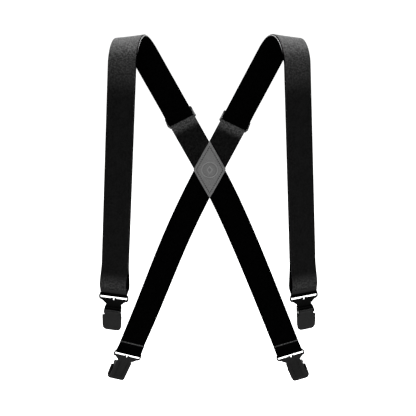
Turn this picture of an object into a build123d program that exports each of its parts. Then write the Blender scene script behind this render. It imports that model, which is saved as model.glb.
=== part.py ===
"""Clip-on suspenders with an X-shaped back, hanging as they are worn.

Millimetres. +Z is up, -Y is the wearer's front, and "left" is the -X side seen from the front.
The origin is midway between the two shoulder loops, level with their undersides.
Each strap is one elastic webbing, cut here only where it changes from one moving body to another:
back clip, crossing patch, slider, over the shoulder, front clip, and doubled back to the slider.
"""

import os
from math import cos, pi, radians, sin

from build123d import *

os.makedirs("parts", exist_ok=True)

# ---- webbing ---------------------------------------------------------------------------------
webbing_width = 38.1
webbing_thick = 1.3
layer_pitch = 1.4  # centre to centre of two layers that lie on each other
half_web = webbing_thick / 2

# ---- straps, as they hang ---------------------------------------------------------------------
loop_radius = 30.0
tangent_z = 2 * layer_pitch - 0.75 - loop_radius  # where the loop leaves the straight runs
loop_tilt = {"left": 8.5, "right": 11.5}  # the loop's axis, down towards the outside
front_y = -loop_radius
shoulder_x = {"left": -118.0, "right": 119.3}
front_bar = {"left": (-134.3, -363.4), "right": (133.3, -362.2)}  # x and z of the clip's slot bar
front_facing = {"left": (9.0, 12.0), "right": (24.0, 21.0)}  # outward turn, at shoulder and clip
back_y = {"left": 29.25, "right": 30.75}
back_top_x = {"left": -90.0, "right": 86.0}
cross_point = (0.6, -197.0)
back_mid = {"left": [(46.7, -297.4), (90.3, -408.7)], "right": [(-46.0, -297.4), (-89.3, -408.7)]}
back_bar = {"left": (117.2, -479.3), "right": (-118.0, -480.2)}
back_facing = {"left": 6.0, "right": 17.0}  # outward turn, at the strap's back clip
facing_start_z = -240.0
slider_z = {"left": -122.4, "right": -128.8}
front_low_length = 80.0  # the stretch above each front clip that takes up the adjustment

# ---- sewn and folded ends ---------------------------------------------------------------------
bar_radius = 1.25
bar_clearance = 0.1
fold_inner = bar_radius + bar_clearance
fold_outer = fold_inner + webbing_thick
front_fold_top = 14.0
back_fold_top = 20.0
back_hem_top = 17.0

# ---- slider -----------------------------------------------------------------------------------
slider_width = 42.2
slider_low, slider_high = -6.75, 10.25
slider_sheet = 1.2
slider_rail = 2.4
slider_gap = 0.1
pin_radius = 0.95
wrap_inner = pin_radius + 0.05
wrap_outer = wrap_inner + webbing_thick
pin_y = -(half_web + slider_gap) - wrap_outer
end_hem_top = 13.0
end_fold_top = 14.0
end_merge_top = 24.0

# ---- crossing patch ---------------------------------------------------------------------------
patch_wide, patch_tall = 45.3, 84.0
leather_thick = 1.3
patch_gap = 0.1

# ---- clip -------------------------------------------------------------------------------------
sheet = 0.9
ring_width, ring_height = 43.0, 10.4
slot_width, slot_height, slot_corner = 38.6, 4.2, 0.8
neck_half, neck_z = 10.75, -14.5
plate_width, plate_bottom = 23.7, -47.9
ear_inner = plate_width / 2 - sheet
hinge_y, hinge_z = -3.0, -19.6  # front jaw's trunnions
lever_y, lever_z = -6.65, -23.2  # lever's pin
lever_pin_radius = 1.0
cam_offset, cam_radius = 0.5, 2.1
jaw_back, jaw_front = -3.1, -3.9
jaw_half = 10.2
pad_half, pad_top, pad_bottom = 9.4, -38.4, -46.8
plate_pad_face, jaw_pad_face = -1.65, -1.9
flap_half, flap_bottom, flap_thick = 14.2, -51.5, 1.1
back_clip_swing = 6.0  # back clips hang with their lower end a little outward

side_sign = {"left": -1, "right": 1}


def save(solid, name):
    solid.label = name
    export_step(solid, f"parts/{name}.step")


# ---- the straps' paths: each gives a point of the outer layer, its direction and its outer side --
def front_point(side, z):
    bar_x, bar_z = front_bar[side]
    top_x = shoulder_x[side]
    share = (z - tangent_z) / (bar_z - tangent_z)
    turn = radians(front_facing[side][0] * (1 - share) + front_facing[side][1] * share)
    centre = Vector(top_x + (bar_x - top_x) * share, front_y, z)
    along = Vector(top_x - bar_x, 0, tangent_z - bar_z).normalized()
    return centre, along, Vector(side_sign[side] * sin(turn), -cos(turn), 0)


def back_slope(side):
    return (cross_point[0] - back_top_x[side]) / (tangent_z - cross_point[1])


def loop_point(side, angle):
    """The half turn over the shoulder: a cubic runs sideways while the section goes round."""
    bar_x, bar_z = front_bar[side]
    start, end = shoulder_x[side], back_top_x[side]
    start_rate = (start - bar_x) / (tangent_z - bar_z) * loop_radius * pi
    end_rate = back_slope(side) * loop_radius * pi
    t = angle / pi
    x = (2 * t**3 - 3 * t**2 + 1) * start + (t**3 - 2 * t**2 + t) * start_rate
    x += (3 * t**2 - 2 * t**3) * end + (t**3 - t**2) * end_rate
    rate = 6 * (t**2 - t) * (start - end) + (3 * t**2 - 4 * t + 1) * start_rate
    rate += (3 * t**2 - 2 * t) * end_rate
    middle, half = (front_y + back_y[side]) / 2, (back_y[side] - front_y) / 2
    centre = Vector(x, middle - half * cos(angle), tangent_z + loop_radius * sin(angle))
    along = Vector(rate / pi, half * sin(angle), loop_radius * cos(angle)).normalized()
    turn = radians(side_sign[side] * front_facing[side][0] * (1 - t))
    tilt = radians(-side_sign[side] * loop_tilt[side])
    outer_x = sin(turn) * cos(angle) - sin(angle) * sin(tilt)
    return centre, along, Vector(outer_x, -cos(turn) * cos(angle), sin(angle) * cos(tilt))


def straight_back_point(side, z):
    slope = back_slope(side)
    centre = Vector(back_top_x[side] + slope * (tangent_z - z), back_y[side], z)
    return centre, Vector(slope, 0, -1).normalized(), Vector(0, 1, 0)


def low_back_curve(side):
    """From the crossing to the slot bar of the back clip."""
    y = back_y[side]
    points = [cross_point, *back_mid[side], back_bar[side]]
    start = straight_back_point(side, cross_point[1])[1]
    finish = Vector(points[-1][0] - points[-2][0], 0, points[-1][1] - points[-2][1]).normalized()
    return Spline(*[(x, y, z) for x, z in points], tangents=[start, finish], mode=Mode.PRIVATE)


def low_back_point(side, curve, share):
    centre, along = curve @ share, curve % share
    bar_z = back_bar[side][1]
    turned = max(0.0, (facing_start_z - centre.Z) / (facing_start_z - bar_z))
    turn = radians(back_facing[side] * min(1.0, turned))
    return centre, along, Vector(-side_sign[side] * sin(turn), cos(turn), 0)


def station(point, depth=0.0):
    """A section's centre, its width direction and its outer side, moved inward by depth."""
    centre, along, outer = point
    across = along.cross(outer).normalized()
    square = across.cross(along).normalized()
    return centre - square * depth, across, square


def ribbon(stations):
    with BuildPart() as strip:
        for centre, across, outer in stations:
            with BuildSketch(Plane(origin=centre, x_dir=across, z_dir=across.cross(outer))):
                Rectangle(webbing_width, webbing_thick)
        loft(ruled=True)
    return strip.part


def spread(low, high, count):
    return [low + (high - low) * n / (count - 1) for n in range(count)]


def frame_at(centre, across, outer, clip=False, at_back=False):
    """A local frame with Z up the strap. A clip's -Y is its lever side, which faces outward."""
    up = across.cross(outer) * (1 if at_back else -1)
    x_dir = across * -1 if clip and at_back else across
    return Plane(origin=centre, x_dir=x_dir, z_dir=up)


def folded_end(inner_r, outer_r, centre_y, front_leg, back_leg):
    """A U round a bar. Each leg is (height where it is straight again, its y there, its top)."""
    front_merge, front_leg_y, front_top = front_leg
    back_merge, back_leg_y, back_top = back_leg
    front_out, front_in = front_leg_y - half_web, front_leg_y + half_web
    back_out, back_in = back_leg_y + half_web, back_leg_y - half_web
    up = (0, 1)
    down = (0, -1)
    with BuildPart() as fold:
        with BuildSketch(Plane.YZ):
            with BuildLine():
                Line((front_out, front_top), (front_out, front_merge))
                Spline((front_out, front_merge), (centre_y - outer_r, 0), tangents=[down, down])
                ThreePointArc(
                    (centre_y - outer_r, 0), (centre_y, -outer_r), (centre_y + outer_r, 0)
                )
                Spline((centre_y + outer_r, 0), (back_out, back_merge), tangents=[up, up])
                Line((back_out, back_merge), (back_out, back_top))
                Line((back_out, back_top), (back_in, back_top))
                Line((back_in, back_top), (back_in, back_merge))
                Spline((back_in, back_merge), (centre_y + inner_r, 0), tangents=[down, down])
                ThreePointArc(
                    (centre_y + inner_r, 0), (centre_y, -inner_r), (centre_y - inner_r, 0)
                )
                Spline((centre_y - inner_r, 0), (front_in, front_merge), tangents=[up, up])
                Line((front_in, front_merge), (front_in, front_top))
                Line((front_in, front_top), (front_out, front_top))
            make_face()
        extrude(amount=webbing_width / 2, both=True)
    return fold.part


# ---- folds, in the frame of the bar they go round ---------------------------------------------
half_pitch = layer_pitch / 2
merge = 10.0
front_leg = (merge, -half_pitch, front_fold_top)
front_fold = folded_end(fold_inner, fold_outer, 0, front_leg, (merge, half_pitch, front_fold_top))
back_leg = (merge, -half_pitch, back_fold_top)
back_fold = folded_end(fold_inner, fold_outer, 0, back_leg, (merge, half_pitch, back_hem_top))
end_leg = (merge, -2 * layer_pitch, end_fold_top)
end_fold = folded_end(wrap_inner, wrap_outer, pin_y, end_leg, (2.0, -layer_pitch, end_hem_top))

# ---- slider, in its own frame: Y is the outer side, the strap runs through at y = 0 --------------
slider_middle = (slider_low + slider_high) / 2
slider_tall = slider_high - slider_low
slider_face = half_web + slider_gap
ear_x = slider_width / 2 - slider_sheet

with BuildPart() as slider_frame:
    with BuildSketch(Plane.XZ.offset(-slider_face)):
        with Locations((0, slider_middle)):
            RectangleRounded(slider_width, slider_tall, 2.2)
            RectangleRounded(slider_width - 2 * slider_rail, slider_tall - 5.6, 1.0, mode=Mode.SUBTRACT)
    extrude(amount=-slider_sheet)
    for x in (-slider_width / 2, ear_x):
        with BuildSketch(Plane.YZ.offset(x)):
            with BuildLine():
                Polyline(
                    (slider_face + slider_sheet / 2, slider_high - 3.0),
                    (slider_face + slider_sheet / 2, slider_low + 3.0),
                    (pin_y - 1.9, -2.1),
                    (pin_y - 1.9, 2.1),
                    close=True,
                )
            make_face()
            fillet(vertices().group_by(Axis.X)[0], 1.6)
            with Locations((pin_y, 0)):
                Circle(pin_radius, mode=Mode.SUBTRACT)
        extrude(amount=slider_sheet)
    fillet(edges().filter_by(Axis.X).group_by(Axis.Z)[-1], 0.35)

with BuildPart() as slider_pin:
    with BuildSketch(Plane.YZ):
        with Locations((pin_y, 0)):
            Circle(pin_radius)
    extrude(amount=slider_width / 2, both=True)

# ---- clip, in its own frame: origin on the slot bar's axis, Z up, lever on the -Y side ----------
slot_top = -bar_radius
slot_bottom = slot_top - slot_height
ring_middle = bar_radius - ring_height / 2
groove_depth = 0.35

with BuildPart() as back_plate:
    with BuildSketch(Plane.XZ):
        with Locations((0, ring_middle)):
            RectangleRounded(ring_width, ring_height, 4.4)
        with BuildLine():
            Polyline(
                (-17.5, ring_middle),
                (-17.0, bar_radius - ring_height),
                (-neck_half, neck_z),
                (-plate_width / 2, neck_z - 2.5),
                (-plate_width / 2, plate_bottom),
                (plate_width / 2, plate_bottom),
                (plate_width / 2, neck_z - 2.5),
                (neck_half, neck_z),
                (17.0, bar_radius - ring_height),
                (17.5, ring_middle),
                close=True,
            )
        make_face()
        fillet(vertices().group_by(Axis.Y)[0], 3.6)
        with Locations((0, (slot_top + slot_bottom) / 2)):
            Rectangle(slot_width, slot_height, mode=Mode.SUBTRACT)
        with BuildLine():
            Polyline(
                (slot_width / 2, slot_bottom),
                (slot_width / 2, slot_bottom + slot_corner),
                (slot_width / 2 - slot_corner, slot_bottom),
                close=True,
            )
        make_face()
        with BuildLine():
            Polyline(
                (-slot_width / 2, slot_bottom),
                (-slot_width / 2, slot_bottom + slot_corner),
                (-slot_width / 2 + slot_corner, slot_bottom),
                close=True,
            )
        make_face()
        with Locations((-2.75, slot_bottom), (2.75, slot_bottom)):
            Circle(1.3)
        with Locations((0, slot_bottom - 1.4)):
            Circle(1.0, mode=Mode.SUBTRACT)
    extrude(amount=sheet / 2, both=True)
    with BuildSketch(Plane.YZ):
        Circle(bar_radius)
    extrude(amount=slot_width / 2 + 1.2, both=True)
    with BuildSketch(Plane.XZ.offset(-sheet / 2)):
        with Locations((-5.6, -29.5), (5.6, -29.5)):
            SlotOverall(24.0, 1.7, rotation=90)
    extrude(amount=groove_depth, mode=Mode.SUBTRACT)
    with BuildSketch(Plane.XY.offset(plate_bottom)):
        with Locations((0, -(sheet / 2 + 1.1) / 2 - 0.1)):
            Rectangle(2 * 8.2, 1.3)
    extrude(amount=0.9)
    for x in (-plate_width / 2, ear_inner):
        with BuildSketch(Plane.YZ.offset(x)):
            with BuildLine():
                Polyline(
                    (sheet / 2, -17.2),
                    (-3.4, -17.2),
                    (-8.7, -21.6),
                    (-8.7, -24.8),
                    (-3.4, -29.0),
                    (sheet / 2, -29.0),
                    close=True,
                )
            make_face()
            fillet(vertices().group_by(Axis.X)[0], 1.5)
            with Locations((hinge_y, hinge_z)):
                Circle(0.95, mode=Mode.SUBTRACT)
            with Locations((lever_y, lever_z)):
                Circle(lever_pin_radius, mode=Mode.SUBTRACT)
        extrude(amount=sheet)

with BuildPart() as lever_pin:
    with BuildSketch(Plane.YZ.offset(-plate_width / 2)):
        with Locations((lever_y, lever_z)):
            Circle(lever_pin_radius)
    extrude(amount=plate_width)
    for x in (-plate_width / 2 - 0.7, plate_width / 2):
        with BuildSketch(Plane.YZ.offset(x)):
            with Locations((lever_y, lever_z)):
                Circle(1.55)
        extrude(amount=0.7)

with BuildPart() as front_jaw:
    with BuildSketch(Plane.YZ):
        with BuildLine():
            Polyline(
                (jaw_front, hinge_z),
                (jaw_front, plate_bottom),
                (jaw_back + 1.0, plate_bottom),
                (jaw_back + 1.0, plate_bottom + 0.9),
                (jaw_back, plate_bottom + 0.9),
                (jaw_back, hinge_z),
                close=True,
            )
        make_face()
        with Locations((hinge_y, hinge_z)):
            Circle(1.1)
    extrude(amount=jaw_half, both=True)
    fillet(edges().filter_by(Axis.Y).group_by(Axis.Z)[0], 1.5)
    with BuildSketch(Plane.YZ):
        with Locations((hinge_y, hinge_z)):
            Circle(0.88)
    extrude(amount=plate_width / 2 + 0.2, both=True)

with BuildPart() as back_insert:
    with BuildSketch(Plane.XZ.offset(sheet / 2)):
        with Locations((0, (pad_top + pad_bottom) / 2)):
            RectangleRounded(2 * pad_half, pad_top - pad_bottom, 1.0)
    extrude(amount=-plate_pad_face - sheet / 2)
    for z in spread(pad_bottom + 1.4, pad_top - 1.4, 4):
        with BuildSketch(Plane.YZ):
            with Locations((plate_pad_face, z)):
                Rectangle(0.7, 0.7, rotation=45)
        extrude(amount=pad_half, both=True, mode=Mode.SUBTRACT)

with BuildPart() as front_insert:
    with BuildSketch(Plane.XZ.offset(-jaw_pad_face)):
        with Locations((0, (pad_top + pad_bottom) / 2)):
            RectangleRounded(2 * pad_half, pad_top - pad_bottom, 1.0)
    extrude(amount=jaw_pad_face - jaw_back)
    for z in spread(pad_bottom + 1.4, pad_top - 1.4, 4):
        with BuildSketch(Plane.YZ):
            with Locations((jaw_pad_face, z)):
                Rectangle(0.7, 0.7, rotation=45)
        extrude(amount=pad_half, both=True, mode=Mode.SUBTRACT)

lever_neck = ear_inner - 0.35
flap_top_y, flap_middle_y, flap_end_y = -8.0, -6.95, -6.1
flap_arc = [(flap_top_y, lever_z - 0.6), (flap_middle_y, -38.0), (flap_end_y, flap_bottom)]
with BuildPart() as lever:
    with BuildSketch(Plane.YZ):
        with BuildLine():
            ThreePointArc(*flap_arc)
            Line((flap_end_y, flap_bottom), (flap_end_y + flap_thick, flap_bottom))
            ThreePointArc(*[(y + flap_thick, z) for y, z in reversed(flap_arc)])
            Line((flap_top_y + flap_thick, lever_z - 0.6), (flap_top_y, lever_z - 0.6))
        make_face()
    extrude(amount=flap_half + 1, both=True)
    with BuildSketch(Plane.XZ):
        with BuildLine():
            Polyline(
                (-lever_neck, lever_z + 1),
                (-lever_neck, -27.6),
                (-flap_half, -28.6),
                (-flap_half + 0.7, flap_bottom + 0.05),
                (flap_half - 0.7, flap_bottom + 0.05),
                (flap_half, -28.6),
                (lever_neck, -27.6),
                (lever_neck, lever_z + 1),
                close=True,
            )
        make_face()
        fillet(vertices().group_by(Axis.Y)[0], 7.0)
    extrude(amount=12, mode=Mode.INTERSECT)
    with BuildSketch(Plane.YZ):
        with Locations((lever_y + cam_offset, lever_z)):
            Circle(cam_radius)
    extrude(amount=lever_neck - 0.15, both=True)
    with BuildSketch(Plane.YZ):
        with Locations((lever_y, lever_z)):
            Circle(lever_pin_radius + 0.06)
    extrude(amount=flap_half, both=True, mode=Mode.SUBTRACT)

clip_pieces = {
    "back_plate": back_plate.part,
    "lever_pin": lever_pin.part,
    "front_jaw": front_jaw.part,
    "back_insert": back_insert.part,
    "front_insert": front_insert.part,
    "lever": lever.part,
}

# ---- crossing patch: two leather rhombi that sandwich the crossed webbing -----------------------
patch_faces = {
    "inner": back_y["left"] - half_web - patch_gap - leather_thick,
    "outer": back_y["right"] + half_web + patch_gap,
}
for face, y in patch_faces.items():
    crossing = Plane(origin=(cross_point[0], y, cross_point[1]), x_dir=(1, 0, 0), z_dir=(0, -1, 0))
    with BuildPart() as patch:
        with BuildSketch(crossing):
            with BuildLine():
                Polyline(
                    (0, patch_tall / 2),
                    (patch_wide / 2, 0),
                    (0, -patch_tall / 2),
                    (-patch_wide / 2, 0),
                    close=True,
                )
            make_face()
            fillet(vertices(), 1.5)
        extrude(amount=-leather_thick)
    save(patch.part, f"cross_patch_{face}")

# ---- the two straps, with their sliders and clips ------------------------------------------------
for side in ("left", "right"):
    other = "right" if side == "left" else "left"
    bar_z = front_bar[side][1]
    low_top_z = bar_z + front_fold_top + front_low_length
    front_zs = spread(bar_z + front_fold_top, low_top_z, 4)
    high_zs = spread(low_top_z, tangent_z, 5)
    turns = spread(0, pi, 19)
    for layer, depth in (("outer", 0.0), ("inner", layer_pitch)):
        high = [station(front_point(side, z), depth) for z in high_zs]
        over = [station(loop_point(side, a), depth) for a in turns]
        save(ribbon(high), f"{side}_webbing_front_{layer}")
        save(ribbon(over), f"{side}_webbing_shoulder_{layer}")
        low = [station(front_point(side, z), depth) for z in front_zs]
        save(ribbon(low), f"{side}_webbing_front_low_{layer}")

    centre, across, outer = station(front_point(side, bar_z), half_pitch)
    front_frame = frame_at(centre, across, outer, clip=True)
    save(front_fold.moved(front_frame.location), f"{side}_webbing_front_fold")

    slope_length = (1 + back_slope(side) ** 2) ** 0.5
    slider_point = station(straight_back_point(side, slider_z[side]))
    slider_frame_plane = frame_at(*slider_point, at_back=True)
    merge_z = slider_z[side] + end_merge_top / slope_length
    hem_z = slider_z[side] + end_fold_top / slope_length
    end_run = [
        station(straight_back_point(side, tangent_z), layer_pitch),
        station(straight_back_point(side, merge_z), layer_pitch),
        station(straight_back_point(side, hem_z), 2 * layer_pitch),
    ]
    save(ribbon(end_run), f"{side}_webbing_end")
    save(end_fold.moved(slider_frame_plane.location), f"{side}_webbing_end_fold")
    save(slider_frame.part.moved(slider_frame_plane.location), f"{side}_slider_frame")
    save(slider_pin.part.moved(slider_frame_plane.location), f"{side}_slider_pin")

    curve = low_back_curve(side)
    last_share = 1 - 2 * back_fold_top / curve.length
    end_centre, end_across, end_outer = station(low_back_point(side, curve, 1.0))
    fold_top = end_centre + end_across.cross(end_outer) * back_fold_top
    back_run = [station(straight_back_point(side, tangent_z))]
    back_run += [station(low_back_point(side, curve, s)) for s in spread(0, last_share, 11)]
    back_run.append((fold_top, end_across, end_outer))
    stretches = {"upper": (0, 1), "middle": (1, 6), "lower": (6, 9), "end": (9, 12)}
    for stretch, (first, last) in stretches.items():
        save(ribbon(back_run[first : last + 1]), f"{side}_webbing_back_{stretch}")
    centre, across, outer = station(low_back_point(side, curve, 1.0), half_pitch)
    back_frame = frame_at(centre, across, outer, clip=True, at_back=True)
    save(back_fold.moved(back_frame.location), f"{side}_webbing_back_fold")

    swing = Rot(-back_clip_swing, 0, 0)
    places = {
        f"front_{side}": front_frame.location,
        f"back_{other}": back_frame.location * swing,
    }
    for clip, place in places.items():
        for piece, solid in clip_pieces.items():
            save(solid.moved(place), f"{clip}_{piece}")
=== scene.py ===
"""The looks of a pair of clip-on suspenders: webbing, leather patch, stitching, black hardware.

Lengths are worked out in millimetres, as in the CAD source, and turned into metres where a
mesh is made. The strap paths repeat the CAD's dimensions.
"""

from math import cos, exp, pi, radians, sin

import bpy
import numpy as np
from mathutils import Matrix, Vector


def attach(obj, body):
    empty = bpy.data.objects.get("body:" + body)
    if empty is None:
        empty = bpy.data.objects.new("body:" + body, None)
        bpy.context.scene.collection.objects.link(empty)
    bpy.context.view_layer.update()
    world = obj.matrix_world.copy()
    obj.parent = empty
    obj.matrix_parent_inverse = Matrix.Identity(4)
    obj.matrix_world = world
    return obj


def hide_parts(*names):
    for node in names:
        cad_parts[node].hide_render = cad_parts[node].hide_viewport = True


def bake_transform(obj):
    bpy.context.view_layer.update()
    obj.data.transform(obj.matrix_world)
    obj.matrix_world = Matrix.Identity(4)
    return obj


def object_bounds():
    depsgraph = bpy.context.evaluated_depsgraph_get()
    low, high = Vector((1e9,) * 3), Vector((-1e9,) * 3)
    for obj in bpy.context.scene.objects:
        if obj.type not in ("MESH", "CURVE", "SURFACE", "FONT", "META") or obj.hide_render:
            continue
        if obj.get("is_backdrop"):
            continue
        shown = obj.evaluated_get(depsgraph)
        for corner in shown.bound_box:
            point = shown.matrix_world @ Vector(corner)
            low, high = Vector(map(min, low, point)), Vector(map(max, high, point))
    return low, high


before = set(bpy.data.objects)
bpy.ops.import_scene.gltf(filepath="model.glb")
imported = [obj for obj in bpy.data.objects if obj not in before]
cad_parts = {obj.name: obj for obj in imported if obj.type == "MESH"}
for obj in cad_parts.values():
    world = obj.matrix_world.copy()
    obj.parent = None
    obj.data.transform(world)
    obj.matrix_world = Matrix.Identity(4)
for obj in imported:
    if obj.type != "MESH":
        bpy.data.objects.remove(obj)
cad_low, cad_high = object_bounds()

MM = 0.001

# ---- the CAD's dimensions -------------------------------------------------------------------
webbing_width = 38.1
webbing_thick = 1.3
layer_pitch = 1.4
half_web = webbing_thick / 2
half_pitch = layer_pitch / 2
loop_radius = 30.0
tangent_z = 2 * layer_pitch - 0.75 - loop_radius
loop_tilt = {"left": 8.5, "right": 11.5}
front_y = -loop_radius
shoulder_x = {"left": -118.0, "right": 119.3}
front_bar = {"left": (-134.3, -363.4), "right": (133.3, -362.2)}
front_facing = {"left": (9.0, 12.0), "right": (24.0, 21.0)}
back_y = {"left": 29.25, "right": 30.75}
back_top_x = {"left": -90.0, "right": 86.0}
cross_point = (0.6, -197.0)
back_mid = {"left": [(46.7, -297.4), (90.3, -408.7)], "right": [(-46.0, -297.4), (-89.3, -408.7)]}
back_bar = {"left": (117.2, -479.3), "right": (-118.0, -480.2)}
back_facing = {"left": 6.0, "right": 17.0}
facing_start_z = -240.0
slider_z = {"left": -122.4, "right": -128.8}
front_low_length = 80.0
bar_radius = 1.25
fold_middle = bar_radius + 0.1 + half_web  # radius of the webbing's middle round a bar
front_fold_top = 14.0
back_fold_top = 20.0
back_hem_top = 17.0
fold_merge = 10.0
pin_radius = 0.95
wrap_middle = pin_radius + 0.05 + half_web
pin_y = -(half_web + 0.1) - (pin_radius + 0.05 + webbing_thick)
slider_merge = 2.0  # how soon the hem lies flat above the pin
end_hem_top = 13.0
end_fold_top = 14.0
end_merge_top = 24.0
patch_wide, patch_tall = 45.3, 84.0
leather_thick = 1.3
patch_gap = 0.1
side_sign = {"left": -1, "right": 1}


# ---- strap paths, as in the CAD ---------------------------------------------------------------
def front_point(side, z):
    bar_x, bar_z = front_bar[side]
    top_x = shoulder_x[side]
    share = (z - tangent_z) / (bar_z - tangent_z)
    turn = radians(front_facing[side][0] * (1 - share) + front_facing[side][1] * share)
    centre = Vector((top_x + (bar_x - top_x) * share, front_y, z))
    along = Vector((top_x - bar_x, 0, tangent_z - bar_z)).normalized()
    return centre, along, Vector((side_sign[side] * sin(turn), -cos(turn), 0))


def back_slope(side):
    return (cross_point[0] - back_top_x[side]) / (tangent_z - cross_point[1])


def slope_length(side):
    """How far along the straight back run one unit of height is."""
    return (1 + back_slope(side) ** 2) ** 0.5


def loop_point(side, angle):
    bar_x, bar_z = front_bar[side]
    start, end = shoulder_x[side], back_top_x[side]
    start_rate = (start - bar_x) / (tangent_z - bar_z) * loop_radius * pi
    end_rate = back_slope(side) * loop_radius * pi
    t = angle / pi
    x = (2 * t**3 - 3 * t**2 + 1) * start + (t**3 - 2 * t**2 + t) * start_rate
    x += (3 * t**2 - 2 * t**3) * end + (t**3 - t**2) * end_rate
    rate = 6 * (t**2 - t) * (start - end) + (3 * t**2 - 4 * t + 1) * start_rate
    rate += (3 * t**2 - 2 * t) * end_rate
    middle, half = (front_y + back_y[side]) / 2, (back_y[side] - front_y) / 2
    centre = Vector((x, middle - half * cos(angle), tangent_z + loop_radius * sin(angle)))
    along = Vector((rate / pi, half * sin(angle), loop_radius * cos(angle))).normalized()
    turn = radians(side_sign[side] * front_facing[side][0] * (1 - t))
    tilt = radians(-side_sign[side] * loop_tilt[side])
    outer_x = sin(turn) * cos(angle) - sin(angle) * sin(tilt)
    return centre, along, Vector((outer_x, -cos(turn) * cos(angle), sin(angle) * cos(tilt)))


def straight_back_point(side, z):
    slope = back_slope(side)
    centre = Vector((back_top_x[side] + slope * (tangent_z - z), back_y[side], z))
    return centre, Vector((slope, 0, -1)).normalized(), Vector((0, 1, 0))


def low_back_curve(side):
    """A smooth cubic through the crossing, two points and the clip's bar. Its ends' directions are
    set: on from the straight run, and on along the last two points."""
    points = np.array([cross_point, *back_mid[side], back_bar[side]], float)
    first = straight_back_point(side, cross_point[1])[1]
    first = np.array([first.x, first.z])
    last = points[-1] - points[-2]
    last = last / np.linalg.norm(last)
    knots = np.concatenate([[0], np.cumsum(np.linalg.norm(np.diff(points, axis=0), axis=1))])
    count = len(points)
    a, b = np.eye(count), np.zeros((count, 2))
    b[0], b[-1] = first, last
    for i in range(1, count - 1):
        before, after = knots[i] - knots[i - 1], knots[i + 1] - knots[i]
        a[i, i - 1 : i + 2] = after, 2 * (before + after), before
        b[i] = 3 * (after * (points[i] - points[i - 1]) / before
                    + before * (points[i + 1] - points[i]) / after)
    return points, knots, np.linalg.solve(a, b)


def low_back_point(side, curve, share):
    points, knots, rates = curve
    s = share * knots[-1]
    i = min(max(int(np.searchsorted(knots, s)) - 1, 0), len(knots) - 2)
    h = knots[i + 1] - knots[i]
    t = (s - knots[i]) / h
    place = (2 * t**3 - 3 * t**2 + 1) * points[i] + (t**3 - 2 * t**2 + t) * h * rates[i]
    place = place + (3 * t**2 - 2 * t**3) * points[i + 1] + (t**3 - t**2) * h * rates[i + 1]
    rate = 6 * (t**2 - t) / h * (points[i] - points[i + 1]) + (3 * t**2 - 4 * t + 1) * rates[i]
    rate = rate + (3 * t**2 - 2 * t) * rates[i + 1]
    centre = Vector((place[0], back_y[side], place[1]))
    along = Vector((rate[0], 0, rate[1])).normalized()
    turned = max(0.0, (facing_start_z - centre.z) / (facing_start_z - back_bar[side][1]))
    turn = radians(back_facing[side] * min(1.0, turned))
    return centre, along, Vector((-side_sign[side] * sin(turn), cos(turn), 0))


def station(point, depth=0.0):
    """A section's centre, width direction and outer side, moved inward by depth."""
    centre, along, outer = point
    across = along.cross(outer).normalized()
    square = across.cross(along).normalized()
    return centre - square * depth, across, square


def spread(low, high, count):
    return [low + (high - low) * n / (count - 1) for n in range(count)]


def ease(value, low, high):
    """0 at low, 1 at high, smooth between."""
    t = min(1.0, max(0.0, (value - low) / (high - low)))
    return t * t * (3 - 2 * t)


def fold_stations(frame_station, sign, legs, centre_y, middle_r, steps=14):
    """Stations down one leg, round a bar and up the other, in a bar frame (centre, across, outer).

    legs holds (top height, leg y, merge height, sideways shift at the top) for the leg it starts on
    and the one it ends on. sign is +1 where outer is the frame's +Y, as on the back straps, and -1
    on the front ones.
    """
    centre, across, outer = frame_station
    up = across.cross(outer) * sign
    made = []

    def put(y, z, shift, turn):
        # turn is the direction of the section's outer side in the frame's (outer, up) plane
        side = outer * cos(turn) + up * sin(turn)
        made.append((centre + outer * y + up * z + across * shift, across, side))

    (top_a, y_a, merge_a, shift_a), (top_b, y_b, merge_b, shift_b) = legs
    reach = middle_r if y_a > y_b else -middle_r
    sense = 1 if y_a > y_b else -1
    for z in spread(top_a, 0.0, steps)[:-1]:
        y = centre_y + reach + (y_a - centre_y - reach) * ease(z, 0, merge_a)
        put(y, z, shift_a * ease(z, 0, top_a), 0.0)
    for n in range(steps + 1):
        angle = pi * n / steps
        put(centre_y + reach * cos(angle), -middle_r * sin(angle), 0.0, -sense * angle)
    for z in spread(0.0, top_b, steps)[1:]:
        y = centre_y - reach + (y_b - centre_y + reach) * ease(z, 0, merge_b)
        put(y, z, shift_b * ease(z, 0, top_b), -sense * pi)
    return made


def sideways(stations, shifts):
    """The same stations moved along their width direction."""
    return [(centre + across * shift, across, outer)
            for (centre, across, outer), shift in zip(stations, shifts)]


# ---- meshes -------------------------------------------------------------------------------------
def mesh_object(name, verts, faces):
    """A smooth-shaded object from corners in millimetres."""
    mesh = bpy.data.meshes.new(name)
    mesh.from_pydata([tuple(c * MM for c in v) for v in verts], [], faces)
    mesh.update()
    mesh.polygons.foreach_set("use_smooth", [True] * len(mesh.polygons))
    made = bpy.data.objects.new(name, mesh)
    bpy.context.scene.collection.objects.link(made)
    return made


def strap_profile(selvedge=0.5, crown=0.05, columns=19, round_steps=6):
    """(across, out, side) round the webbing's section: rounded selvedges and a hair of crown."""
    half = webbing_width / 2
    flats = spread(-half + selvedge, half - selvedge, columns)
    profile = []
    for sign in (1, -1):
        for x in flats:
            out = half_web - crown * (abs(x) / half) ** 6
            profile.append((sign * x, sign * out, float(sign)))
        for n in range(1, round_steps):
            a = sign * pi / 2 - pi * n / round_steps
            x = sign * (half - selvedge) + selvedge * cos(a)
            profile.append((x, half_web * sin(a), sin(a)))
    return profile


section = strap_profile()


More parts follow.
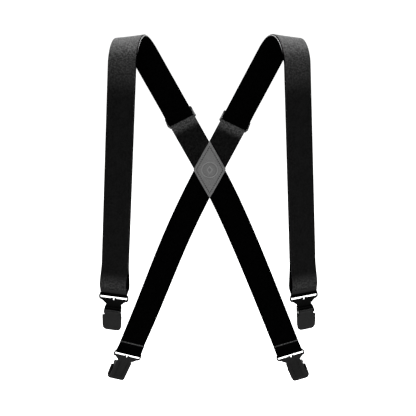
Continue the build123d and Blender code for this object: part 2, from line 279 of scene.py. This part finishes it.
def strap_mesh(name, stations, start=0.0, caps=(False, False), dark=0.0, painted_light=0.0):
    """Sweeps the webbing's section through the stations.

    The attribute strap holds the place across, the length run and the side (1 outer, -1 inner), so
    that the weave follows the strap. dark is how far the outer side takes on the inner side's
    darker finish; most callers use it as painted shade. The painted-light argument is how much
    lighter the outer side (above 0) or the inner one (below 0) is painted, as painted highlights.
    Both are one number, or a list with one for each station.
    """
    darks = dark if isinstance(dark, list) else [dark] * len(stations)
    painted_lights = painted_light if isinstance(painted_light, list) else [painted_light] * len(stations)
    verts, places, lit_values, faces = [], [], [], []
    run, last = start, None
    for (centre, across, outer), darkened, wear_and_light in zip(stations, darks, painted_lights):
        run += (centre - last).length if last is not None else 0.0
        last = centre
        for x, y, face in section:
            verts.append(centre + across * x + outer * y)
            places.append((x * MM, run * MM, face - (face + 1) * darkened))
            lit_values.append(wear_and_light)
    n = len(section)
    for i in range(len(stations) - 1):
        for j in range(n):
            k = (j + 1) % n
            faces.append((i * n + j, i * n + k, (i + 1) * n + k, (i + 1) * n + j))
    side_count = len(faces)
    for at, wanted in zip((0, len(stations) - 1), caps):
        if wanted:
            ring = range(len(verts), len(verts) + n)
            for values in (verts, places, lit_values):
                values += values[at * n : (at + 1) * n]
            faces.append(tuple(reversed(ring)) if at == 0 else tuple(ring))
    made = mesh_object(name, verts, faces)
    data = made.data.attributes.new("strap", "FLOAT_VECTOR", "POINT")
    data.data.foreach_set("vector", np.array(places, np.float32).ravel())
    # how much lighter each corner's colour is painted: painted highlights
    data = made.data.attributes.new("painted_light", "FLOAT", "POINT")
    data.data.foreach_set("value", np.array(lit_values, np.float32))
    # faces must look outward whichever way the stations run
    centre, across, outer = stations[0]
    if across.cross(outer).dot(stations[1][0] - centre) > 0:
        made.data.flip_normals()
    for i in range(side_count, len(faces)):
        made.data.polygons[i].use_smooth = False
    return made, run


# a stitch's rings as (place along it, radius), both as shares
stitch_rings = [(-1.0, 0.0), (-0.93, 0.5), (-0.7, 0.85), (0.0, 1.0)]
stitch_rings += [(-place, radius) for place, radius in reversed(stitch_rings[:-1])]
stitch_dip = 0.5  # how far its ends sink into the cloth, as a share of its height


def stitch_mesh(name, stitches, width=0.55, height=0.4, around=8):
    """Short rounded threads: each is (centre, direction, surface normal, length)."""
    verts, faces = [], []
    for centre, direction, normal, length in stitches:
        across = direction.cross(normal)
        base = len(verts)
        for t, r in stitch_rings:
            dip = -stitch_dip * height * abs(t) ** 3
            for k in range(around):
                a = 2 * pi * k / around
                offset = across * (cos(a) * r * width / 2)
                offset += normal * (sin(a) * r * height / 2 + dip)
                verts.append(centre + direction * (t * length / 2) + offset)
        for i in range(len(stitch_rings) - 1):
            for k in range(around):
                m = (k + 1) % around
                faces.append((base + i * around + k, base + i * around + m,
                              base + (i + 1) * around + m, base + (i + 1) * around + k))
    return mesh_object(name, verts, faces)


# ---- materials -----------------------------------------------------------------------------------
class Nodes:
    """A short way to write a node tree."""

    def __init__(self, name):
        self.material = bpy.data.materials.new(name)
        self.material.use_nodes = True
        self.tree = self.material.node_tree
        self.tree.nodes.clear()
        self.out = self.tree.nodes.new("ShaderNodeOutputMaterial")
        self.shader = self.tree.nodes.new("ShaderNodeBsdfPrincipled")
        self.tree.links.new(self.shader.outputs[0], self.out.inputs[0])

    def set(self, **values):
        for name, value in values.items():
            self.shader.inputs[name.replace("_", " ")].default_value = value

    def feed(self, socket, source):
        self.tree.links.new(source, self.shader.inputs[socket])

    def new(self, kind, inputs=(), **settings):
        node = self.tree.nodes.new("ShaderNode" + kind)
        for name, value in settings.items():
            setattr(node, name, value)
        for index, value in dict(inputs).items():
            if hasattr(value, "is_linked"):
                self.tree.links.new(value, node.inputs[index])
            else:
                node.inputs[index].default_value = value
        return node

    def math(self, operation, a, b=0.0, c=0.0, clamp=False):
        return self.new("Math", {0: a, 1: b, 2: c}, operation=operation, use_clamp=clamp).outputs[0]

    def ramp(self, value, low, high, out_low=0.0, out_high=1.0):
        node = self.new("MapRange", {0: value, 1: low, 2: high, 3: out_low, 4: out_high})
        node.interpolation_type = "SMOOTHSTEP"
        return node.outputs[0]

    def mix(self, share, a, b):
        node = self.new("Mix", data_type="RGBA")
        for socket, value in ((0, share), (6, a), (7, b)):
            if hasattr(value, "is_linked"):
                self.tree.links.new(value, node.inputs[socket])
            else:
                node.inputs[socket].default_value = value
        return node.outputs[2]

    def noise(self, vector, scale, detail=3.0, rough=0.55):
        return self.new("TexNoise", {"Vector": vector, "Scale": scale, "Detail": detail,
                                     "Roughness": rough}).outputs[0]

    def bump(self, height, distance, strength=1.0, after=None):
        node = self.new("Bump", {"Height": height, "Distance": distance, "Strength": strength})
        if after is not None:
            self.tree.links.new(after, node.inputs["Normal"])
        return node.outputs[0]


def grey(v):
    return (v, v, v, 1.0)


# the webbing: tones, from its darkest specks to its palest, and lengths in metres
outer_dark, outer_pale = 0.0001, 0.004
inner_dark, inner_pale = 0.0001, 0.0008
# the tones of the painted highlights laid on the webbing's colour
painted_light_dark, painted_light_pale = 0.02, 0.075
# the tone of the painted highlight on the inner layer's edge at the loop
edge_highlight_pale = 0.16
outer_sheen, outer_specular = 0.2, 0.025
cord_pitch, pick_pitch = 0.00095, 0.0011
edge_from, edge_to = 0.01855, 0.0188  # the edge's faces, measured from the strap's middle
side_step = 0.01  # sets the two sides' specks apart
rib_height, fuzz_height = 0.00012, 0.00008

leather_dark, leather_pale, leather_crease_shade = 0.062, 0.074, 0.03
# painted highlight on the stamped ridges, painted shade in the recesses
relief_highlight, relief_shade = 0.12, 0.02
grain_height, pore_height = 0.0001, 0.00005


def webbing_material(name):
    """Black elastic webbing: lengthwise cords crossed by fine picks, matt, with a soft sheen.

    The inner side is a deeper black. Painted highlights make stretches greyer, as the strap's
    painted-light attribute says, and the weave's grooves are darkened as painted shade.
    """
    m = Nodes(name)
    place = m.new("Attribute", attribute_name="strap", attribute_type="GEOMETRY")
    painted_light = m.new("Attribute", attribute_name="painted_light", attribute_type="GEOMETRY").outputs["Fac"]
    across, run, side = m.new("SeparateXYZ", {0: place.outputs["Vector"]}).outputs
    cord = m.math("MULTIPLY", across, 1 / cord_pitch)
    cord_no = m.math("FLOOR", cord)
    crown = m.math("SINE", m.math("MULTIPLY", m.math("SUBTRACT", cord, cord_no), pi))
    phase = m.math("MULTIPLY", m.math("MODULO", cord_no, 2.0), pi)
    pick = m.math("SINE", m.math("ADD", m.math("MULTIPLY", run, 2 * pi / pick_pitch), phase))
    height = m.math("ADD", m.math("MULTIPLY", crown, 0.6), m.math("MULTIPLY", pick, 0.4))
    which_side = m.math("MULTIPLY", side, side_step)
    flat = m.new("CombineXYZ", {0: across, 1: run, 2: which_side}).outputs[0]
    fuzz = m.noise(flat, scale=2600.0, detail=2.0)
    speck = m.noise(flat, scale=480.0, detail=3.0, rough=0.7)
    patchy = m.noise(flat, scale=90.0, detail=4.0)
    stretched = m.new("CombineXYZ", {0: m.math("MULTIPLY", across, 900.0),
                                     1: m.math("MULTIPLY", run, 24.0), 2: side})
    streak = m.noise(stretched.outputs[0], scale=1.0, detail=2.0)
    outward = m.ramp(side, -0.5, 0.3)
    # the selvedges painted lighter: a painted highlight along the strap's edges
    selvedge = m.math("MULTIPLY", m.ramp(m.math("ABSOLUTE", side), 0.98, 0.6), 0.6)
    speckled = m.ramp(speck, 0.38, 0.66)
    patches = m.math("MULTIPLY", m.ramp(patchy, 0.35, 0.75), 0.4)
    outer_tone = m.mix(speckled, grey(outer_dark), grey(outer_pale))
    outer_tone = m.mix(patches, outer_tone, grey(outer_pale))
    inner_tone = m.mix(speckled, grey(inner_dark), grey(inner_pale))
    tone = m.mix(outward, inner_tone, outer_tone)
    tone = m.mix(selvedge, tone, grey(painted_light_dark))
    # the painted-light attribute lightens the outer side (above 0) or the inner one (below 0):
    # painted highlights
    wear_and_light = m.math("MULTIPLY", painted_light, side, clamp=True)
    tone = m.mix(wear_and_light, tone, m.mix(speckled, grey(painted_light_dark), grey(painted_light_pale)))
    # a painted highlight on the edge, where the painted-light attribute is set on the inner side
    edge = m.ramp(m.math("ABSOLUTE", across), edge_from, edge_to)
    painted_edge_light = m.math("MULTIPLY", m.math("MULTIPLY", painted_light, side), -1.0, clamp=True)
    tone = m.mix(m.math("MULTIPLY", edge, painted_edge_light), tone, grey(edge_highlight_pale))
    # the weave's grooves darkened in the colour: painted shade in the hollows between cords
    groove_shade = m.ramp(height, -0.2, 0.6, 0.35, 1.0)
    shaded = m.new("Mix", data_type="RGBA", blend_type="MULTIPLY")
    shaded.inputs[0].default_value = 1.0
    m.tree.links.new(tone, shaded.inputs[6])
    groove_shades = m.new("CombineColor", {0: groove_shade, 1: groove_shade, 2: groove_shade})
    m.tree.links.new(groove_shades.outputs[0], shaded.inputs[7])
    m.feed("Base Color", shaded.outputs[2])
    m.feed("Roughness", m.ramp(streak, 0.2, 0.8, 0.55, 0.75))
    glow = m.math("MULTIPLY", outward, m.ramp(speck, 0.35, 0.65, 0.4, 1.6))
    m.feed("Sheen Weight", m.math("MULTIPLY", glow, outer_sheen))
    m.feed("Specular IOR Level", m.math("MULTIPLY", m.math("ADD", outward, 0.03), outer_specular))
    ribs = m.bump(height, rib_height, strength=0.9)
    m.feed("Normal", m.bump(fuzz, fuzz_height, strength=0.6, after=ribs))
    m.set(Sheen_Roughness=0.18, Sheen_Tint=(0.9, 0.92, 0.95, 1.0))
    return m.material


def leather_material(name):
    """Grey grained leather; the attribute relief says where it gets painted highlights and painted
    shade.
    """
    m = Nodes(name)
    place = m.new("TexCoord").outputs["Object"]
    cell = m.new("TexVoronoi", {"Vector": place, "Scale": 900.0}, feature="F1")
    crease = m.new("TexVoronoi", {"Vector": place, "Scale": 520.0}, feature="DISTANCE_TO_EDGE")
    pores = m.noise(place, scale=2200.0, detail=3.0)
    mottle = m.noise(place, scale=130.0, detail=5.0)
    tone = m.mix(m.ramp(mottle, 0.3, 0.7), grey(leather_dark), grey(leather_pale))
    # darker in the grain's creases: painted shade in the hollows
    tone = m.mix(m.ramp(crease.outputs[0], 0.0, 0.12, 0.55, 0.0), tone, grey(leather_crease_shade))
    relief = m.new("Attribute", attribute_name="relief", attribute_type="GEOMETRY").outputs["Fac"]
    # raised marks lighter, recesses darker: painted highlight and painted shade
    tone = m.mix(m.math("MAXIMUM", relief, 0.0), tone, grey(relief_highlight))
    tone = m.mix(m.math("MAXIMUM", m.math("MULTIPLY", relief, -1.0), 0.0), tone, grey(relief_shade))
    m.feed("Base Color", tone)
    m.feed("Roughness", m.ramp(mottle, 0.2, 0.8, 0.42, 0.6))
    cells = m.math("MULTIPLY", cell.outputs[0], 0.4)
    creased = m.math("ADD", m.ramp(crease.outputs[0], 0.0, 0.2), cells)
    grain = m.bump(creased, grain_height, strength=0.7)
    m.feed("Normal", m.bump(pores, pore_height, strength=0.4, after=grain))
    m.set(Specular_IOR_Level=0.3)
    return m.material


def enamel_material(name, base, rough, specular, metallic=0.0):
    """Black enamel over pressed steel, with a faint orange peel and rubbed edges."""
    m = Nodes(name)
    place = m.new("TexCoord").outputs["Object"]
    peel = m.noise(place, scale=900.0, detail=2.0)
    smear = m.noise(place, scale=160.0, detail=4.0)
    wear_and_light = m.ramp(m.new("NewGeometry").outputs["Pointiness"], 0.53, 0.62)
    tone = m.mix(m.ramp(smear, 0.3, 0.75), grey(base), grey(base * 1.7))
    tone = m.mix(m.math("MULTIPLY", wear_and_light, 0.4), tone, grey(base * 5))
    m.feed("Base Color", tone)
    m.feed("Roughness", m.ramp(smear, 0.2, 0.8, rough, rough + 0.16))
    m.feed("Normal", m.bump(peel, distance=0.00004, strength=0.35))
    m.set(Metallic=metallic, Specular_IOR_Level=specular)
    return m.material


def thread_material(name, tone, sheen):
    """Twisted sewing thread."""
    m = Nodes(name)
    place = m.new("TexCoord").outputs["Object"]
    twist = m.noise(place, scale=3500.0, detail=2.0)
    m.feed("Base Color", m.mix(m.ramp(twist, 0.3, 0.7), grey(tone * 0.6), grey(tone * 1.3)))
    m.feed("Normal", m.bump(twist, distance=0.00008, strength=0.6))
    m.set(Roughness=0.7, Sheen_Weight=sheen, Specular_IOR_Level=sheen)
    return m.material


def insert_material(name):
    """Moulded rubber, for the inserts that grip the waistband."""
    m = Nodes(name)
    place = m.new("TexCoord").outputs["Object"]
    fine = m.noise(place, scale=1800.0, detail=3.0)
    m.feed("Base Color", m.mix(m.ramp(fine, 0.3, 0.7), grey(0.02), grey(0.035)))
    m.feed("Roughness", m.ramp(fine, 0.2, 0.8, 0.6, 0.8))
    m.feed("Normal", m.bump(fine, distance=0.00005, strength=0.5))
    return m.material


webbing = webbing_material("webbing")
leather = leather_material("leather")
enamel = enamel_material("enamel", base=0.0015, rough=0.26, specular=0.035)
# a darker copy of the enamel for the front clips: painted shade
enamel_painted_shade = enamel_material("enamel_painted_shade", base=0.0008, rough=0.3, specular=0.008)
slider_enamel = enamel_material("slider_enamel", base=0.012, rough=0.3, specular=0.3)
lever_enamel = enamel_material("lever_enamel", base=0.002, rough=0.24, specular=0.05)
pin_metal = enamel_material("pin_metal", base=0.05, rough=0.25, specular=0.5, metallic=0.6)
insert = insert_material("insert")
black_thread = thread_material("black_thread", tone=0.001, sheen=0.0)
patch_thread = thread_material("patch_thread", tone=0.002, sheen=0.02)

for name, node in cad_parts.items():
    finish = enamel
    if name.endswith("insert"):
        finish = insert
    elif name.endswith("_pin"):
        finish = pin_metal
    elif name.endswith("_lever"):
        finish = lever_enamel
    elif name.endswith("slider_frame"):
        finish = slider_enamel
    # the front clips take the darker copy of the enamel: painted shade
    elif name.startswith("front_"):
        finish = enamel_painted_shade
    node.data.materials.clear()
    node.data.materials.append(finish)


def dress(piece, material):
    piece.data.materials.append(material)
    return piece


# ---- the straps --------------------------------------------------------------------------------
inner_shift = 1.1  # how far the inner layer shows beside the outer one, towards the middle
parted_from, parted_by = 50.0, 2.0  # height over the front bar where the layers part, and how far
# each pair in brackets below is where a change starts and where it is complete
fold_shade = (2.0, 9.0)  # height over the front bar: painted shade just above it, from the inner side's darker finish to the outer's
belly_rises, belly_fades, belly_light = (5.0, 11.0), (14.0, 34.0), 0.4  # the same height: a painted highlight band where the strap bellies forward
# a painted highlight rising up the front and over the shoulder's top
shoulder_painted_light, shoulder_starts = 0.4, (tangent_z - 48, tangent_z + 8)
behind_shoulder = (0.6 * pi, pi)  # angle over the loop: the shoulder's painted highlight and the inner shift fade
edge_lit = (0.5, 0.9)  # sine of that angle: the inner layer's edge gets a painted highlight
slider_edge, slider_band, slider_faint = (-1.0, 0.5), (4.0, 19.0), 0.09  # below the slider: a painted light band on the inner side, fading downward
hem_cut = 1.3  # the glazed cut end of a hem
hem_rows, end_rows = (3.5, 6.5), (2.0, 5.0)  # rows of stitches, from the hem's cut end
stitch_gap = 0.02
shoulder_turns = spread(0, pi, 61)


def layer_shift(side, layer, height):
    """How far a front layer lies off the CAD's path, along its width. The inner one shows a little
    on the side of the middle, and the two part near the clip."""
    parting = ease(height, parted_from, front_fold_top) * parted_by
    away = parting if layer == "outer" else -inner_shift - parting
    return side_sign[side] * away


def painted_light_band(height):
    """A painted highlight band on the outer side above the front clip, where a strap bellies
    forward.
    """
    return belly_light * ease(height, *belly_rises) * (1 - ease(height, *belly_fades))


def painted_light_below_slider(distance):
    """The painted light on the inner side below the slider's lower edge, a band fading downward."""
    band = 1 - ease(distance, *slider_band)
    return ease(distance, *slider_edge) * (slider_faint + (1 - slider_faint) * band)


def stitch_row(frame_station, height, face_y, pitch=2.6, inset=1.6, filled=0.8):
    """Stitches in a row across the webbing, on the face at face_y. filled is the thread's share."""
    centre, across, outer = frame_station
    up = across.cross(outer)
    count = int((webbing_width - 2 * inset) / pitch)
    begin = -pitch * (count - 1) / 2
    normal = outer if face_y > 0 else outer * -1
    level = centre + outer * face_y + up * height
    places = [level + across * (begin + pitch * n) for n in range(count)]
    return [(place, across, normal, pitch * filled) for place in places]


def front_fold_path(side):
    """Round the front clip's bar, with each station's painted shade and painted light."""
    bar_station = station(front_point(side, front_bar[side][1]), half_pitch)
    legs = []
    for layer, y in (("outer", half_pitch), ("inner", -half_pitch)):
        legs.append((front_fold_top, y, fold_merge, layer_shift(side, layer, front_fold_top)))
    # the bar frame's outer side faces the front
    fold = fold_stations(bar_station, -1, legs, 0.0, fold_middle)
    up = bar_station[1].cross(bar_station[2]) * -1
    rise = [(centre - bar_station[0]).dot(up) for centre, across, outer in fold]
    turn = len(fold) / 2
    # dark near the bar on the outer layer's leg and all over the inner layer's: painted shade
    shade = [1 - ease(z, *fold_shade) if n < turn else 1.0 for n, z in enumerate(rise)]
    return fold, shade, [painted_light_band(z) for z in rise]


def outer_path(side, low_top_z, curve, end_station):
    """Up the front, over the shoulder, down the back and round the back clip's bar.

    Also how far each station's outer side takes the inner side's darker finish, on the hem's leg
    after the bar, and its painted highlights.
    """
    high = [station(front_point(side, z)) for z in spread(low_top_z, tangent_z, 50)][:-1]
    over = [station(loop_point(side, a)) for a in shoulder_turns][:-1]
    down = [station(straight_back_point(side, z)) for z in spread(tangent_z, cross_point[1], 90)]
    last_share = 1 - 2 * back_fold_top / curve[1][-1]
    low_back = [station(low_back_point(side, curve, s)) for s in spread(0, last_share, 60)]
    hem_leg = (back_hem_top, -half_pitch, fold_merge, 0.0)
    legs = ((back_fold_top, half_pitch, fold_merge, 0.0), hem_leg)
    hem = fold_stations(end_station, 1, legs, 0.0, fold_middle)
    glazed = hem[-1][0] + (hem[-2][0] - hem[-1][0]).normalized() * hem_cut
    hem.insert(-1, (glazed, hem[-1][1], hem[-1][2]))
    path = high + over + down[:-1] + low_back + hem

    painted_light = [shoulder_painted_light * ease(centre.z, *shoulder_starts) for centre, across, outer in high]
    painted_light += [shoulder_painted_light * (1 - ease(a, *behind_shoulder)) for a in shoulder_turns[:-1]]
    # painted light on the back's inner side below the slider
    for centre, across, outer in down:
        along_strap = (slider_z[side] - centre.z) * slope_length(side)
        painted_light.append(-painted_light_below_slider(along_strap - wrap_middle - half_web))
    painted_light += [0.0] * (len(path) - len(painted_light))
    # the hem's cut end lighter all round: a painted highlight
    painted_light[-1] = painted_light[-2] = -1.0
    hem_darkened = [1.0 if n > len(path) - len(hem) / 2 else 0.0 for n in range(len(path))]
    return path, hem_darkened, painted_light


def inner_path(side, low_top_z, shift):
    """Up the front and over the shoulder, with the painted highlight on each station's edge."""
    high = [station(front_point(side, z), layer_pitch) for z in spread(low_top_z, tangent_z, 50)]
    over = [station(loop_point(side, a), layer_pitch) for a in shoulder_turns]
    high = sideways(high, [shift] * len(high))[:-1]
    fades = [(1 + 0.5 * sin(a)) * (1 - ease(a, *behind_shoulder)) for a in shoulder_turns]
    over = sideways(over, [shift * fade for fade in fades])
    return high + over, [0.0] * len(high) + [ease(sin(a), *edge_lit) for a in shoulder_turns]


def end_path(side, hem_z):
    """Down the back to the slider, moving away from the outer layer to leave room for the hem."""
    merge_z = slider_z[side] + end_merge_top / slope_length(side)
    zs = spread(tangent_z, merge_z, 24)
    path = [station(straight_back_point(side, z), layer_pitch) for z in zs]
    for t in spread(0.0, 1.0, 9)[1:]:
        depth = layer_pitch * (1 + ease(t, 0.0, 1.0))
        path.append(station(straight_back_point(side, merge_z + (hem_z - merge_z) * t), depth))
    return path


for side in ("left", "right"):
    bar_z = front_bar[side][1]
    fold_top_z = bar_z + front_fold_top
    low_top_z = fold_top_z + front_low_length
    loop_body = f"front_{side}_loop"

    # round the front clip's bar
    fold, shade, light_band = front_fold_path(side)
    piece, run = strap_mesh(f"{side}_strap_front_fold", fold, dark=shade, painted_light=light_band)
    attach(dress(piece, webbing), loop_body)
    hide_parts(f"{side}_webbing_front_fold")

    # above it the stretch that takes up the adjustment, one piece for each layer
    for layer, depth in (("outer", 0.0), ("inner", layer_pitch)):
        zs = spread(fold_top_z, low_top_z, 21)
        low = [station(front_point(side, z), depth) for z in zs]
        low = sideways(low, [layer_shift(side, layer, z - bar_z) for z in zs])
        light_band = [painted_light_band(z - bar_z) for z in zs]
        # the inner layer takes the inner side's darker finish on both sides: painted shade behind
        # the outer layer
        layer_shade = float(layer == "inner")
        piece, run = strap_mesh(f"{side}_strap_front_low_{layer}", low, dark=layer_shade, painted_light=light_band)
        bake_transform(dress(piece, webbing))
        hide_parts(f"{side}_webbing_front_low_{layer}")

    # the outer layer, in one piece to the back clip
    curve = low_back_curve(side)
    end_station = station(low_back_point(side, curve, 1.0), half_pitch)
    path, hem_darkened, painted_light = outer_path(side, low_top_z, curve, end_station)
    caps = (False, True)  # only the cut end in the hem is closed
    piece, run = strap_mesh(f"{side}_strap_outer", path, front_low_length, caps, hem_darkened, painted_light)
    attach(dress(piece, webbing), "straps")
    fronts, backs = ["front_outer", "shoulder_outer"], ["upper", "middle", "lower", "end", "fold"]
    names = fronts + [f"back_{stretch}" for stretch in backs]
    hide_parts(*[f"{side}_webbing_{n}" for n in names])

    # the inner layer, to behind the shoulder; dark on both sides, as painted shade behind the outer
    # layer
    path, lit_values = inner_path(side, low_top_z, layer_shift(side, "inner", low_top_z - bar_z))
    piece, run = strap_mesh(f"{side}_strap_inner", path, front_low_length, dark=1.0, painted_light=lit_values)
    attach(dress(piece, webbing), "straps")
    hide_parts(*[f"{side}_webbing_{n}" for n in ("front_inner", "shoulder_inner")])

    # its end comes down the back to the slider, and turns round the slider's pin
    hem_z = slider_z[side] + end_fold_top / slope_length(side)
    # dark on both sides, like the inner layer: painted shade
    piece, run = strap_mesh(f"{side}_strap_end", end_path(side, hem_z), run, dark=1.0)
    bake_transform(dress(piece, webbing))
    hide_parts(f"{side}_webbing_end")

    slider_station = station(straight_back_point(side, slider_z[side]))
    hem_leg = (end_hem_top, -layer_pitch, slider_merge, 0.0)
    legs = ((end_fold_top, -2 * layer_pitch, fold_merge, 0.0), hem_leg)
    wrap = fold_stations(slider_station, 1, legs, pin_y, wrap_middle)
    # the wrap round the pin is dark all round too: painted shade
    piece, run = strap_mesh(f"{side}_strap_end_fold", wrap, run, caps, dark=1.0)
    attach(dress(piece, webbing), f"{side}_slider")
    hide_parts(f"{side}_webbing_end_fold")

    # two rows of stitches across each hem
    hem_face = half_pitch + half_web + stitch_gap
    rows = []
    for below in hem_rows:
        rows += stitch_row(end_station, back_hem_top - below, hem_face)
        rows += stitch_row(end_station, back_hem_top - below, -hem_face)
    piece = stitch_mesh(f"{side}_back_hem_stitches", rows)
    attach(dress(piece, black_thread), "straps")
    wrap_face = -(2 * layer_pitch + half_web + stitch_gap)
    rows = []
    for below in end_rows:
        rows += stitch_row(slider_station, end_hem_top - below, wrap_face)
    piece = stitch_mesh(f"{side}_slider_hem_stitches", rows)
    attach(dress(piece, black_thread), f"{side}_slider")


# ---- the leather patch at the crossing -----------------------------------------------------------
half_wide, half_tall = patch_wide / 2, patch_tall / 2
edge_scale = half_wide * half_tall / (half_wide**2 + half_tall**2) ** 0.5  # middle to edge
stitch_inset = 3.6
edge_drop, edge_round = 0.55, 0.45
groove_depth, groove_width = 0.35, 0.7
stamped_rings = ((12.2, 0.3), (11.0, -0.25), (9.8, 0.3))  # (radius, depth)
ring_line = 0.5
lozenge_half, lozenge_depth = (3.6, 5.2), 0.35
patch_columns, border_steps = 176, 2000
stitch_rise = 0.1  # the patch's stitches above their groove


def hill(distance, width):
    """1 at 0, falling off as a bell of this width."""
    return exp(-((distance / width) ** 2))


def step_down(distance, width):
    """1 well inside, 0 well outside, smooth over width."""
    return 1 - ease(distance, -width / 2, width / 2)


def patch_border(angle, power=1.03):
    """The patch's outline: a rhombus with barely rounded corners."""
    c, s = cos(angle), sin(angle)
    r = (abs(c / half_wide) ** power + abs(s / half_tall) ** power) ** (-1 / power)
    return r * c, r * s


def patch_places(x, z, share):
    """How far a place is inside the edge, how far from the middle, and the same in lozenges."""
    inset = (1 - share) * edge_scale
    return inset, (x * x + z * z) ** 0.5, abs(x) / lozenge_half[0] + abs(z) / lozenge_half[1]


def patch_height(x, z, share):
    """Out from the patch's own base: a rounded edge, a groove, a stamped ring and lozenge."""
    inset, r, lozenge = patch_places(x, z, share)
    height = leather_thick - edge_drop * exp(-inset / edge_round)
    height -= groove_depth * hill(inset - stitch_inset, groove_width)
    for radius, depth in stamped_rings:
        height -= depth * hill(r - radius, ring_line)
    return height - lozenge_depth * step_down((lozenge - 1) * 3, 1.2)


def patch_relief(x, z, share):
    """How much painted highlight (above 0) or painted shade (below 0) the stamped marks and the
    groove get.
    """
    inset, r, lozenge = patch_places(x, z, share)
    value = 0.8 * hill(r - 11.2, 0.7) - 0.35 * hill(r - 9.7, 0.7)
    value += 0.7 * hill(lozenge - 1.0, 0.22) - 0.4 * step_down(lozenge - 0.5, 0.5)
    return value - 0.3 * hill(inset - stitch_inset, 0.8)


def patch_mesh(name, base_y, facing):
    """facing is -1 for the patch that looks towards the front, +1 for the one at the back."""
    angles = [2 * pi * n / patch_columns for n in range(patch_columns)]
    shares = spread(0.02, 0.6, 40) + spread(0.615, 0.94, 26) + spread(0.946, 1.0, 12)
    verts = [(cross_point[0], base_y + facing * patch_height(0, 0, 0), cross_point[1])]
    relief = [patch_relief(0, 0, 0)]
    for share in shares:
        for a in angles:
            bx, bz = patch_border(a)
            x, z = bx * share, bz * share
            y = base_y + facing * patch_height(x, z, share)
            verts.append((cross_point[0] + x, y, cross_point[1] + z))
            relief.append(patch_relief(x, z, share))
    for a in angles:
        bx, bz = patch_border(a)
        verts.append((cross_point[0] + bx, base_y, cross_point[1] + bz))
    n = len(angles)
    faces = [(0, 1 + k, 1 + (k + 1) % n) for k in range(n)]
    for i in range(len(shares)):
        a, b = 1 + i * n, 1 + (i + 1) * n
        faces += [(a + k, b + k, b + (k + 1) % n, a + (k + 1) % n) for k in range(n)]
    bottom = 1 + len(shares) * n
    faces.append(tuple(bottom + k for k in reversed(range(n))))
    made = mesh_object(name, verts, faces)
    if facing > 0:
        made.data.flip_normals()
    made.data.polygons[len(faces) - 1].use_smooth = False  # the flat underside
    data = made.data.attributes.new("relief", "FLOAT", "POINT")
    data.data.foreach_set("value", np.array(relief + [0.0] * len(angles), np.float32))
    return made


def patch_stitches(name, base_y, facing, pitch=3.1, length=1.8, width=1.3, height=0.5):
    """Stitches in the groove, at even steps round the patch."""
    share = 1 - stitch_inset / edge_scale
    border = []
    for n in range(border_steps + 1):
        x, z = patch_border(2 * pi * n / border_steps)
        border.append(Vector((x, 0, z)) * share)
    lengths = np.concatenate([[0], np.cumsum([(b - a).length for a, b in zip(border, border[1:])])])
    count = round(lengths[-1] / pitch)
    stitches = []
    for k in range(count):
        i = int(np.searchsorted(lengths, (k + 0.5) * lengths[-1] / count))
        here = border[i]
        direction = (border[min(i + 8, border_steps)] - border[max(i - 8, 0)]).normalized()
        y = base_y + facing * (patch_height(here.x, here.z, share) + stitch_rise)
        centre = Vector((cross_point[0] + here.x, y, cross_point[1] + here.z))
        stitches.append((centre, direction, Vector((0, facing, 0)), length))
    return stitch_mesh(name, stitches, width, height)


patch_faces = {
    "inner": (back_y["left"] - half_web - patch_gap, -1),
    "outer": (back_y["right"] + half_web + patch_gap, 1),
}
for face, (base_y, facing) in patch_faces.items():
    piece = patch_mesh(f"patch_{face}", base_y, facing)
    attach(dress(piece, leather), "straps")
    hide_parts(f"cross_patch_{face}")
    piece = patch_stitches(f"patch_stitches_{face}", base_y, facing)
    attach(dress(piece, patch_thread), "straps")


# ---- floor, light and camera ---------------------------------------------------------------------
def floor(size=14.0, drop=0.35):
    """A pale plain floor, this far below the clips."""
    low = cad_low.z - drop
    mesh = bpy.data.meshes.new("floor")
    corners = [(-size, -size, low), (size, -size, low), (size, size, low), (-size, size, low)]
    mesh.from_pydata(corners, [], [(0, 1, 2, 3)])
    made = bpy.data.objects.new("floor", mesh)
    bpy.context.scene.collection.objects.link(made)
    m = Nodes("floor")
    m.set(Base_Color=(0.92, 0.92, 0.92, 1.0), Roughness=0.9, Specular_IOR_Level=0.1)
    mesh.materials.append(m.material)
    made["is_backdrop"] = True


floor()


def area_light(name, place, target, size, power):
    light = bpy.data.lights.new(name, "AREA")
    light.shape, light.size, light.energy = "DISK", size, power
    made = bpy.data.objects.new(name, light)
    made.location = place
    made.rotation_euler = (Vector(target) - Vector(place)).to_track_quat("-Z", "Y").to_euler()
    bpy.context.scene.collection.objects.link(made)


area_light("top_light", place=(0.0, 0.25, 0.75), target=(0.0, 0.0, -0.1), size=0.9, power=85.0)
area_light("front_light", place=(0.3, -1.2, 2.0), target=(0.0, 0.0, -0.25), size=0.8, power=9.0)

world = bpy.data.worlds.new("world")
bpy.context.scene.world = world
world.use_nodes = True
background = world.node_tree.nodes["Background"]
background.inputs["Color"].default_value = (1.0, 1.0, 1.0, 1.0)
background.inputs["Strength"].default_value = 1.15

camera = bpy.data.objects.new("camera", bpy.data.cameras.new("camera"))
bpy.context.scene.collection.objects.link(camera)
elevation, distance, aim = radians(20), 2.6, Vector((-0.0017, 0.0, -0.244))
camera.location = aim + Vector((0, -cos(elevation), sin(elevation))) * distance
camera.rotation_euler = (pi / 2 - elevation, 0, 0)
camera.data.sensor_width = 36.0
camera.data.lens = 160.7
bpy.context.scene.camera = camera
bpy.context.scene.view_settings.view_transform = "Standard"

low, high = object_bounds()
